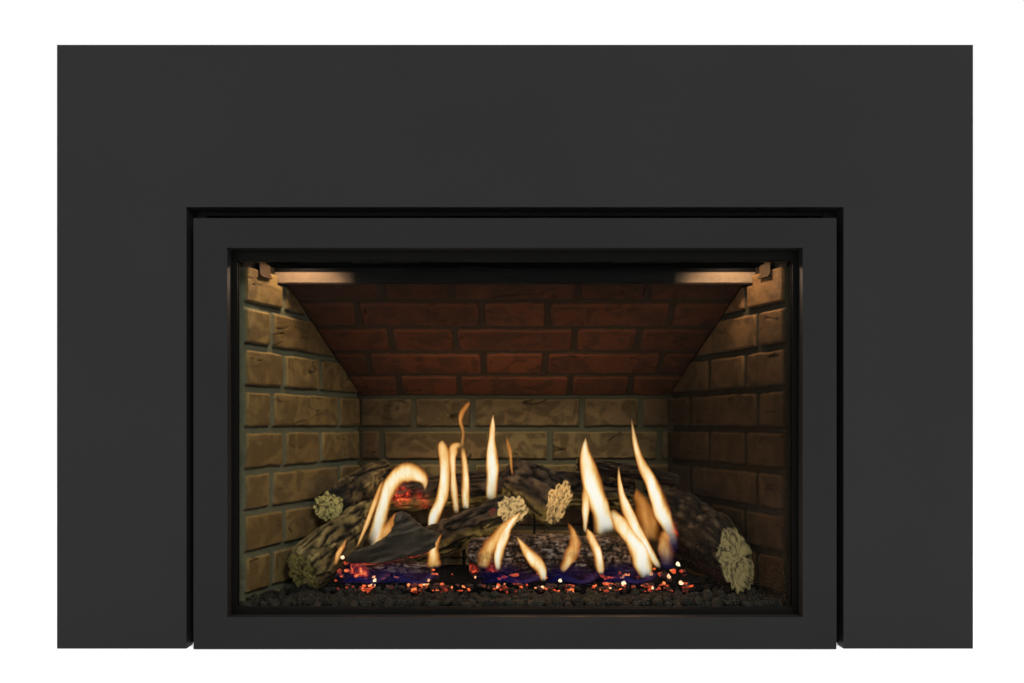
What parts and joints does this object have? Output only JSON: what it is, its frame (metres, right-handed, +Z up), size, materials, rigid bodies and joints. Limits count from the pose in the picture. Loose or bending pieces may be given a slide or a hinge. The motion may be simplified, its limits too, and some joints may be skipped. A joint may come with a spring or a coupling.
{
  "type": "fireplace insert",
  "caption": "Direct-vent gas fireplace insert: flat three-sided surround, lift-off front frame, glass door, brick-lined firebox with log set, burner, blower and twin vent collars.",
  "frame": {"origin": "on the hearth, under the middle of the whole object", "axes": "+X to the right seen from the room, +Y into the fireplace, +Z up"},
  "size_m": [1.118, 0.426, 0.737],
  "materials": {
    "surround_paint": "satin charcoal powder coat",
    "frame_paint": "satin charcoal powder coat",
    "door_black": "satin black high-temperature paint",
    "door_glass": "clear ceramic glass",
    "gasket_rope": "woven glass rope",
    "plated_steel": "aluminised sheet",
    "magnet_nickel": "nickel plated",
    "rubber_black": "moulded rubber",
    "zinc_screw": "zinc plated",
    "stove_black": "matt black stove paint",
    "brick_side": "cast refractory, painted olive-tan brick",
    "brick_rear": "cast refractory, painted tan brick",
    "brick_upper": "cast refractory, painted red-brown brick",
    "burner_steel": "stainless, heat tinted",
    "cast_alloy": "die cast",
    "gas_tube": "drawn tube",
    "black_plastic": "moulded, fine texture",
    "log_bark": "cast ceramic fibre, painted bark and sawn ends",
    "charred_bark": "cast ceramic fibre, painted char",
    "lava_rock": "broken black lava rock",
    "blower_alloy": "formed sheet",
    "motor_dark": "enamelled laminations",
    "lamp_glass": "clear halogen capsule"
  },
  "bodies": {
    "chassis": {"surround_panel": "surround_paint", "surround_brackets": "plated_steel", "frame_magnets": "magnet_nickel", "magnet_brackets": "plated_steel", "door_ledge": "door_black", "door_catches": "plated_steel", "base_pan": "plated_steel", "casing_left": "plated_steel", "casing_right": "plated_steel", "casing_back": "plated_steel", "casing_top": "plated_steel", "gas_grommet": "rubber_black", "sheet_screws": "zinc_screw", "firebox_shell": "stove_black", "brick_panel_left": "brick_side", "brick_panel_right": "brick_side", "brick_panel_rear": "brick_rear", "brick_panel_upper": "brick_upper", "baffle_retainer": "stove_black", "panel_clips": "plated_steel", "burner_pan": "stove_black", "burner_tube": "burner_steel", "gas_valve": "cast_alloy", "gas_line": "gas_tube", "pilot_assembly": "burner_steel", "log_left_front": "log_bark", "log_left_rear": "log_bark", "log_rear": "log_bark", "log_right": "log_bark", "log_front": "log_bark", "log_centre": "log_bark", "log_centre_rear": "log_bark", "log_branch": "log_bark", "charred_chunks": "charred_bark", "log_rack": "stove_black", "lava_rocks": "lava_rock", "ignition_module": "black_plastic", "control_plate": "stove_black", "blower_housing": "plated_steel", "blower_motor": "motor_dark", "exhaust_collar": "plated_steel", "intake_collar": "plated_steel", "intake_duct": "plated_steel", "lamp_housings": "plated_steel", "lamp_bulbs": "lamp_glass"},
    "front_frame_body": {"front_frame": "frame_paint"},
    "glass_door": {"door_frame": "door_black", "door_glass": "door_glass", "door_gasket": "gasket_rope", "glass_clips": "plated_steel"},
    "switch_body": {"flame_switch": "black_plastic"},
    "fan_knob_body": {"fan_knob": "black_plastic"},
    "lamp_knob_body": {"lamp_knob": "black_plastic"},
    "rotor_body": {"blower_rotor": "blower_alloy"},
    "flap_left_body": {"relief_flap_left": "plated_steel"},
    "flap_right_body": {"relief_flap_right": "plated_steel"},
    "shutter_body": {"air_shutter": "burner_steel"},
    "valve_knob_body": {"valve_knob": "black_plastic"},
    "bolt_left_body": {"levelling_bolt_left": "zinc_screw"},
    "bolt_right_body": {"levelling_bolt_right": "zinc_screw"}
  },
  "joints": [
    {"name": "front_pull", "type": "slide", "parent": "chassis", "child": "front_frame_body", "axis": [0, -1, 0], "range_m": [0, 0.25]},
    {"name": "door_tilt", "type": "hinge", "parent": "chassis", "child": "glass_door", "pos_m": [0, -0.195, 0.034], "axis": [1, 0, 0], "range_deg": [0, 20]},
    {"name": "flame_rocker", "type": "hinge", "parent": "chassis", "child": "switch_body", "pos_m": [0.268, -0.176, 0.012], "axis": [-1, 0, 0], "range_deg": [0, 16]},
    {"name": "fan_dial", "type": "hinge", "parent": "chassis", "child": "fan_knob_body", "pos_m": [0.302, -0.177, 0.012], "axis": [0, 1, 0], "range_deg": [0, 270]},
    {"name": "lamp_dial", "type": "hinge", "parent": "chassis", "child": "lamp_knob_body", "pos_m": [0.334, -0.177, 0.012], "axis": [0, 1, 0], "range_deg": [0, 270]},
    {"name": "blower_spin", "type": "hinge", "parent": "chassis", "child": "rotor_body", "pos_m": [0, 0.176, 0.04], "axis": [1, 0, 0], "continuous": true},
    {"name": "relief_left", "type": "hinge", "parent": "chassis", "child": "flap_left_body", "pos_m": [-0.19, -0.0015, 0.5135], "axis": [-1, 0, 0], "range_deg": [0, 30]},
    {"name": "relief_right", "type": "hinge", "parent": "chassis", "child": "flap_right_body", "pos_m": [0.19, -0.0015, 0.5135], "axis": [-1, 0, 0], "range_deg": [0, 30]},
    {"name": "shutter_turn", "type": "hinge", "parent": "chassis", "child": "shutter_body", "pos_m": [-0.12, 0.075, 0.051], "axis": [0, 1, 0], "range_deg": [0, 60]},
    {"name": "valve_turn", "type": "hinge", "parent": "chassis", "child": "valve_knob_body", "pos_m": [-0.352, -0.014, 0.112], "axis": [0, 1, 0], "range_deg": [0, 90]},
    {"name": "level_left", "type": "hinge", "parent": "chassis", "child": "bolt_left_body", "pos_m": [-0.265, 0.187, 0.016], "axis": [0, 0, 1], "continuous": true},
    {"name": "level_right", "type": "hinge", "parent": "chassis", "child": "bolt_right_body", "pos_m": [0.265, 0.187, 0.016], "axis": [0, 0, 1], "continuous": true}
  ],
  "couplings": [
    {"joint": "door_tilt", "follows": "front_pull", "rad_per_m": 1.396}
  ]
}
